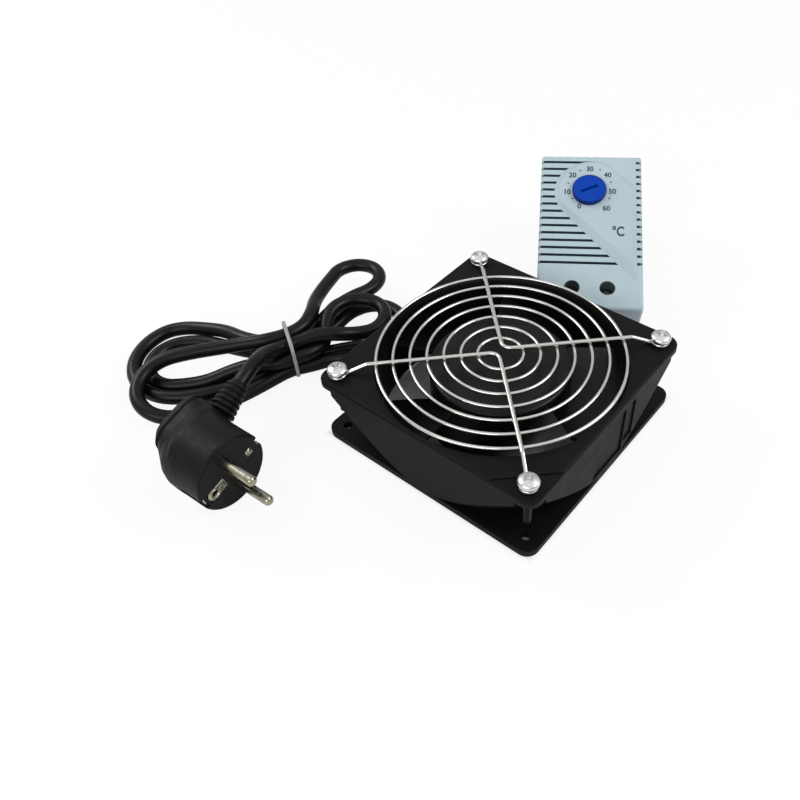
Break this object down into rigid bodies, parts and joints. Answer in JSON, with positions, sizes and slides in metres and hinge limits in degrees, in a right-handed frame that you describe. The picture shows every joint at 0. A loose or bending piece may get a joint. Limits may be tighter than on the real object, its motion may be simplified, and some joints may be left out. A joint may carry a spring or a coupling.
{
  "type": "cabinet fan with finger guard, mains lead and thermostat",
  "caption": "Square axial mains fan with a wire finger guard, a hanked lead with an angled plug, and a small rail-mounted cabinet thermostat.",
  "frame": {"origin": "middle of the four rear mounting holes of the fan, on the rear flange face", "axes": "+Z from the outlet face to the guard along the rotor's axis; X and Y along the sides of the square frame"},
  "size_m": [0.246, 0.3058, 0.0542],
  "materials": {
    "frame": "die-cast aluminium, black paint",
    "impeller": "pressed steel, black paint",
    "chrome_wire": "steel wire, bright nickel chrome",
    "fastener": "zinc-plated steel",
    "bronze": "sintered bronze",
    "steel": "ground steel",
    "lamination": "varnished electrical steel",
    "winding": "enamelled copper wire",
    "cage": "cast aluminium",
    "black_plastic": "moulded black plastic",
    "cord": "soft black sheath",
    "tie": "grey nylon",
    "pin": "nickel-plated brass",
    "housing": "moulded light blue-grey plastic",
    "dial": "moulded blue plastic",
    "pale_plastic": "moulded pale plastic"
  },
  "bodies": {
    "root": {"fan_frame": "frame", "back_flange": "frame", "motor_spider": "frame", "upper_bush": "bronze", "lower_bush": "bronze", "bearing_cap": "frame", "thrust_washer": "black_plastic", "stator_core": "lamination", "stator_windings": "winding", "guard_rings": "chrome_wire", "guard_stays": "chrome_wire", "guard_screws": "fastener", "lock_washers": "fastener", "hex_nuts": "fastener", "terminal_block": "black_plastic", "terminal_tabs": "pin", "fan_connector": "black_plastic", "plug_body": "black_plastic", "plug_pins": "pin", "plug_earth_contacts": "pin", "plug_strain_relief": "black_plastic", "cord_tail": "cord", "cord_plug_run": "cord", "cord_hank": "cord", "cable_tie": "tie", "thermostat_cover": "housing", "thermostat_base": "housing", "terminal_bed": "pale_plastic", "terminal_clamps": "fastener", "clamp_screws": "fastener", "bimetal_post": "pale_plastic", "bimetal_strip": "steel", "contact_arm": "pin"},
    "rotor": {"impeller": "impeller", "rotor_cup": "steel", "rotor_cage": "cage", "shaft": "steel", "shaft_clip": "steel"},
    "dial_body": {"dial": "dial", "dial_spindle": "pale_plastic"},
    "latch": {"rail_latch": "housing"}
  },
  "joints": [
    {"name": "rotor_spin", "type": "hinge", "parent": "root", "child": "rotor", "pos_m": [0, 0, 0.02], "axis": [0, 0, 1], "continuous": true},
    {"name": "dial_turn", "type": "hinge", "parent": "root", "child": "dial_body", "pos_m": [-0.03589, 0.13111, 0.04685], "axis": [0.2062, -0.3127, 0.9272], "range_deg": [-144, 144]},
    {"name": "latch_pull", "type": "slide", "parent": "root", "child": "latch", "axis": [0.5104, -0.7741, -0.3746], "range_m": [0, 0.003], "stiffness_N_per_m": 800, "springref_m": -0.0005}
  ]
}
